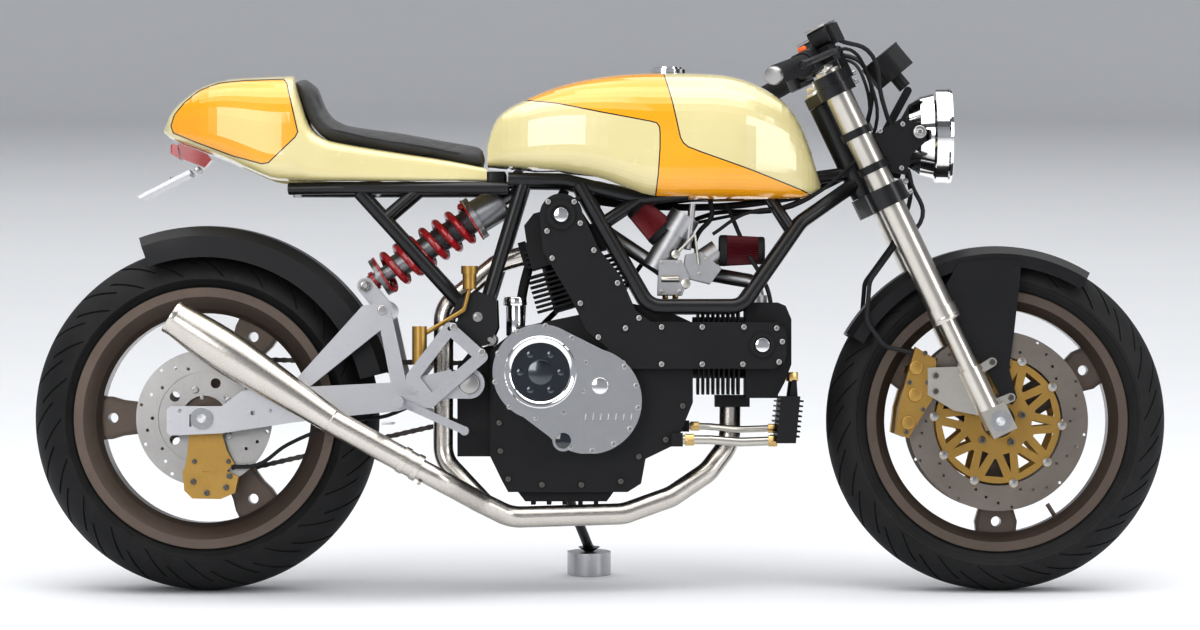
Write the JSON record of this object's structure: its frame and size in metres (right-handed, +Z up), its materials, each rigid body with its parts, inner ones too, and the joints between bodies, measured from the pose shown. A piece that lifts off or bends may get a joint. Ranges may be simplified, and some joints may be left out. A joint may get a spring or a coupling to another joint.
{
  "type": "cafe racer motorcycle",
  "caption": "Cafe racer motorcycle with a V-twin engine, cream and yellow tank and tail, black trellis frame and spoked wheels, leaning on its side stand on a round puck.",
  "frame": {"origin": "middle of the overall box at the floor, with both tyres and the stand's puck on the floor", "axes": "+X forward, +Y to the rider's left, +Z up; the machine leans 5 degrees to its left"},
  "size_m": [2.0219, 0.7078, 1.0176],
  "materials": {
    "black_paint": "satin black paint",
    "engine_black": "matt black crinkle paint on cast alloy",
    "cream_paint": "gloss cream paint with yellow panels",
    "polished_alloy": "polished cast aluminium",
    "cast_alloy": "brushed and cast aluminium",
    "stainless": "brushed stainless steel",
    "steel": "bare steel",
    "chrome": "chrome plate",
    "gold_anodised": "gold anodised aluminium",
    "bronze_paint": "satin brown-grey metallic paint",
    "tyre_rubber": "black tyre rubber",
    "soft_rubber": "matt black rubber",
    "black_leather": "black leather",
    "red_spring": "red powder coat",
    "filter_gauze": "dark red cotton gauze",
    "clear_lens": "clear moulded glass",
    "dark_glass": "dark glass",
    "satin_plastic": "satin black fibre-reinforced plastic",
    "dark_gloss": "black body with a red lens"
  },
  "bodies": {
    "frame": {"main_frame": "black_paint", "rear_subframe": "black_paint", "crankcase": "engine_black", "cylinders": "engine_black", "cylinder_heads": "engine_black", "belt_covers": "engine_black", "clutch_cover": "polished_alloy", "clutch_window": "dark_glass", "left_covers": "engine_black", "carburettors": "cast_alloy", "air_filters": "filter_gauze", "fuel_tank": "cream_paint", "fuel_cap": "polished_alloy", "tail_unit": "cream_paint", "seat_pad": "black_leather", "tail_light": "dark_gloss", "plate_holder": "cast_alloy", "swingarm": "cast_alloy", "shock_absorber": "cast_alloy", "shock_spring": "red_spring", "rear_hugger": "satin_plastic", "rear_caliper": "gold_anodised", "rear_axle": "steel", "rearsets": "cast_alloy", "foot_pedals": "cast_alloy", "rear_brake_reservoir": "gold_anodised", "exhaust_headers": "stainless", "silencer": "stainless", "oil_cooler": "black_paint", "oil_lines": "stainless", "chain": "steel", "stand_puck": "cast_alloy"},
    "steering": {"lower_clamp": "black_paint", "top_clamp": "black_paint", "fork_tubes": "stainless", "fork_sliders": "cast_alloy", "front_axle": "steel", "headlight_body": "chrome", "headlight_lens": "clear_lens", "headlight_bracket": "black_paint", "clip_ons": "black_paint", "grips": "soft_rubber", "hand_levers": "black_paint", "gauge": "satin_plastic", "front_fender": "satin_plastic", "front_calipers": "gold_anodised", "brake_hoses": "soft_rubber"},
    "front_wheel": {"front_rim": "bronze_paint", "front_tyre": "tyre_rubber", "front_discs": "steel", "disc_carriers": "gold_anodised"},
    "rear_wheel": {"rear_rim": "bronze_paint", "rear_tyre": "tyre_rubber", "rear_disc": "steel", "rear_sprocket": "steel"},
    "side_stand": {"side_stand": "black_paint"}
  },
  "joints": [
    {"name": "steering", "type": "hinge", "parent": "frame", "child": "steering", "pos_m": [0.484, -0.01886, 0.68737], "axis": [-0.4305, 0.0787, 0.8992], "range_deg": [-25, 25]},
    {"name": "front_wheel_spin", "type": "hinge", "parent": "steering", "child": "front_wheel", "pos_m": [0.708, -0.05257, 0.30208], "axis": [0, 0.9962, -0.0872], "continuous": true},
    {"name": "rear_wheel_spin", "type": "hinge", "parent": "frame", "child": "rear_wheel", "pos_m": [-0.703, -0.05213, 0.30717], "axis": [0, 0.9962, -0.0872], "continuous": true},
    {"name": "side_stand_fold", "type": "hinge", "parent": "frame", "child": "side_stand", "pos_m": [-0.07, 0.03601, 0.17866], "axis": [0.2728, 0.5409, 0.7956], "range_deg": [0, 92]}
  ]
}
